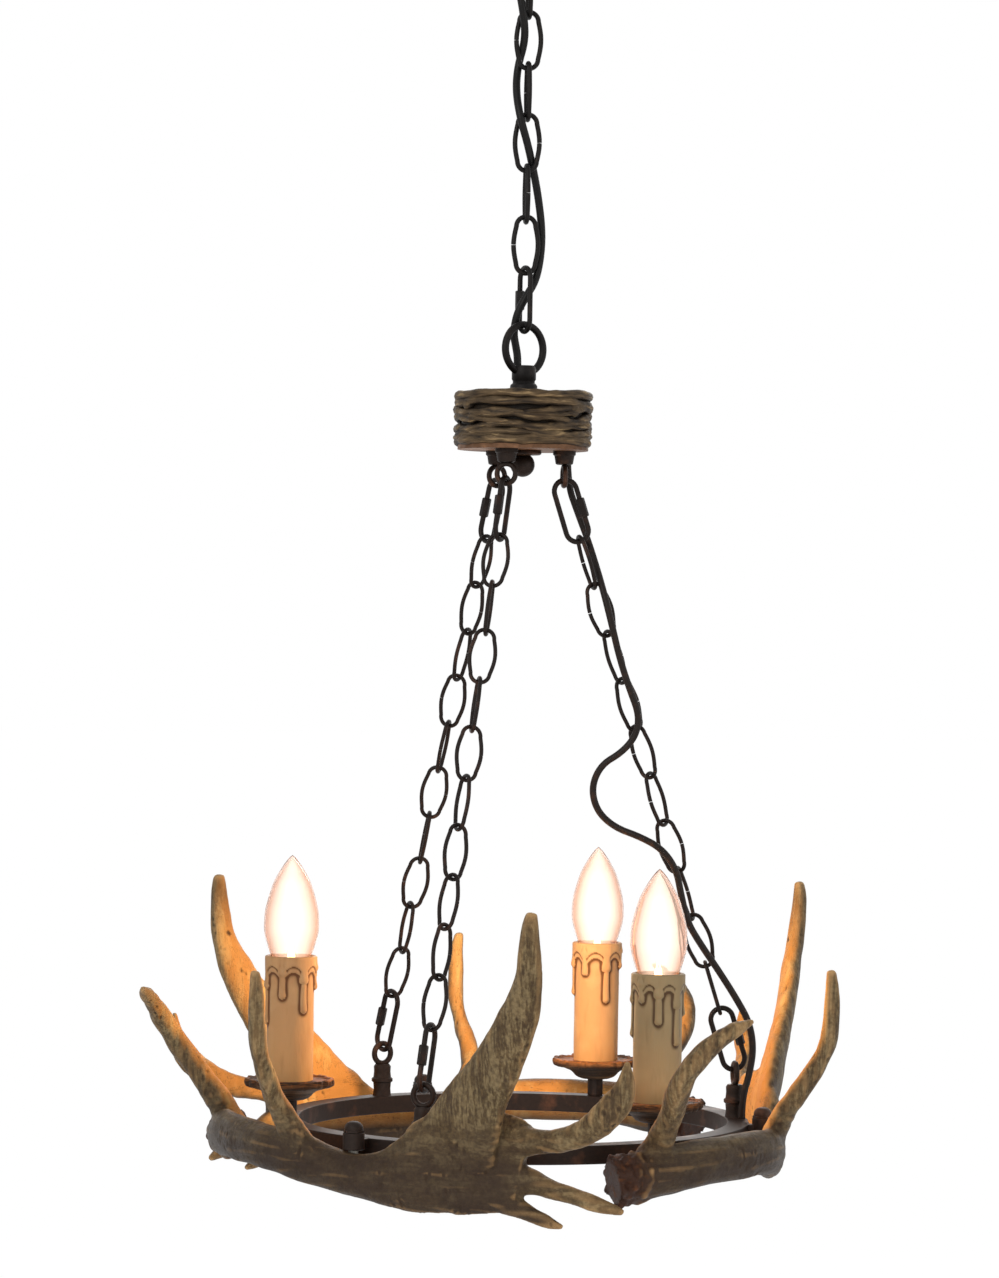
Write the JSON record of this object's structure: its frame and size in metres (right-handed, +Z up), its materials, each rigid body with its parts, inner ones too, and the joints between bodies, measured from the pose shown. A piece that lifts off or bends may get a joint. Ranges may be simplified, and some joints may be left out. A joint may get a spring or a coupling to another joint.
{
  "type": "antler chandelier",
  "caption": "Rustic hanging chandelier with antler castings and candle lamps on a ring, hung by chains from a twig-wrapped hub below a ceiling canopy.",
  "frame": {"origin": "middle of the ceiling face of the mounting bracket, on the lamp's vertical axis", "axes": "+Z up towards the ceiling, +X along the bracket and through one suspension chain's eye"},
  "size_m": [0.449, 0.4435, 0.841],
  "materials": {
    "antler_resin": "cast resin painted as antler",
    "black_cord": "matt black sheath",
    "bracket_steel": "zinc-plated strip",
    "brown_cord": "brown-black sheath",
    "bulb_glass": "clear glass",
    "bush_plastic": "moulded black plastic",
    "candle_resin": "cream resin with brown crevices",
    "canopy_paint": "satin dark bronze paint",
    "cap_metal": "bare brass",
    "chain_steel": "near-black painted steel",
    "dish_resin": "cast resin painted as bark",
    "filament_metal": "drawn wire on a glass stem",
    "fitting_bronze": "dark bronze paint",
    "holder_plastic": "moulded white plastic",
    "lower_chain_steel": "dark bronze painted steel with copper rub",
    "ring_bronze": "dark bronze paint",
    "terminal_plastic": "moulded white plastic",
    "threaded_steel": "zinc-plated thread",
    "twig_resin": "cast resin painted as twigs"
  },
  "bodies": {
    "ceiling": {"ceiling_bracket": "bracket_steel", "ceiling_canopy": "canopy_paint", "mounting_nipple": "threaded_steel", "mounting_nuts": "threaded_steel", "terminal_block": "terminal_plastic", "canopy_cord_bush": "bush_plastic", "canopy_loop": "chain_steel", "top_cord": "black_cord"},
    "link_1": {"chain_link_1": "chain_steel"},
    "link_2": {"chain_link_2": "chain_steel"},
    "link_3": {"chain_link_3": "chain_steel"},
    "link_4": {"chain_link_4": "chain_steel"},
    "link_5": {"chain_link_5": "chain_steel"},
    "link_6": {"chain_link_6": "chain_steel"},
    "quick_link": {"top_quick_link": "chain_steel"},
    "quick_nut": {"top_quick_link_nut": "chain_steel"},
    "fixture": {"acorn_nuts": "ring_bronze", "antler_1": "antler_resin", "antler_2": "antler_resin", "antler_3": "antler_resin", "antler_studs": "threaded_steel", "bulb_cap_1": "cap_metal", "bulb_cap_2": "cap_metal", "bulb_cap_3": "cap_metal", "bulb_filaments": "filament_metal", "bulb_glass_1": "bulb_glass", "bulb_glass_2": "bulb_glass", "bulb_glass_3": "bulb_glass", "candle_rods": "threaded_steel", "candle_sleeve_1": "candle_resin", "candle_sleeve_2": "candle_resin", "candle_sleeve_3": "candle_resin", "candle_stems": "ring_bronze", "chain_quick_links": "lower_chain_steel", "drip_dish_1": "dish_resin", "drip_dish_2": "dish_resin", "drip_dish_3": "dish_resin", "finial_washer": "fitting_bronze", "hub_connector": "terminal_plastic", "hub_eye_nuts": "threaded_steel", "hub_eyebolts": "fitting_bronze", "hub_finial": "fitting_bronze", "hub_loop": "chain_steel", "hub_nipple": "threaded_steel", "hub_plate": "fitting_bronze", "hub_shell": "twig_resin", "lamp_holder_1": "holder_plastic", "lamp_holder_2": "holder_plastic", "lamp_holder_3": "holder_plastic", "lower_cord": "brown_cord", "quick_link_nuts": "lower_chain_steel", "ring_eye_posts": "ring_bronze", "ring_frame": "ring_bronze", "ring_nuts": "threaded_steel", "suspension_chain_1": "lower_chain_steel", "suspension_chain_2": "lower_chain_steel", "suspension_chain_3": "lower_chain_steel"}
  },
  "joints": [
    {"name": "link_1_swing", "type": "hinge", "parent": "ceiling", "child": "link_1", "pos_m": [0, 0, -0.0582], "axis": [1, 0, 0], "range_deg": [-20, 20], "deforming": ["top_cord"]},
    {"name": "link_2_swing", "type": "hinge", "parent": "link_1", "child": "link_2", "pos_m": [0, 0, -0.0906], "axis": [0, 1, 0], "range_deg": [-20, 20], "deforming": ["top_cord"]},
    {"name": "link_3_swing", "type": "hinge", "parent": "link_2", "child": "link_3", "pos_m": [0, 0, -0.1234], "axis": [1, 0, 0], "range_deg": [-20, 20], "deforming": ["top_cord"]},
    {"name": "link_4_swing", "type": "hinge", "parent": "link_3", "child": "link_4", "pos_m": [0, 0, -0.1562], "axis": [0, 1, 0], "range_deg": [-20, 20], "deforming": ["top_cord"]},
    {"name": "link_5_swing", "type": "hinge", "parent": "link_4", "child": "link_5", "pos_m": [0, 0, -0.189], "axis": [1, 0, 0], "range_deg": [-20, 20], "deforming": ["top_cord"]},
    {"name": "link_6_swing", "type": "hinge", "parent": "link_5", "child": "link_6", "pos_m": [0, 0, -0.2218], "axis": [0, 1, 0], "range_deg": [-20, 20], "deforming": ["top_cord"]},
    {"name": "quick_link_swing", "type": "hinge", "parent": "link_6", "child": "quick_link", "pos_m": [0, 0, -0.2546], "axis": [1, 0, 0], "range_deg": [-20, 20], "deforming": ["top_cord"]},
    {"name": "fixture_swing", "type": "hinge", "parent": "quick_link", "child": "fixture", "pos_m": [0, 0, -0.2919], "axis": [-0.3256, 0.9455, 0], "range_deg": [-20, 20], "deforming": ["top_cord"]},
    {"name": "quick_nut_travel", "type": "slide", "parent": "quick_link", "child": "quick_nut", "axis": [0, 0, 1], "range_m": [0, 0.008]}
  ]
}
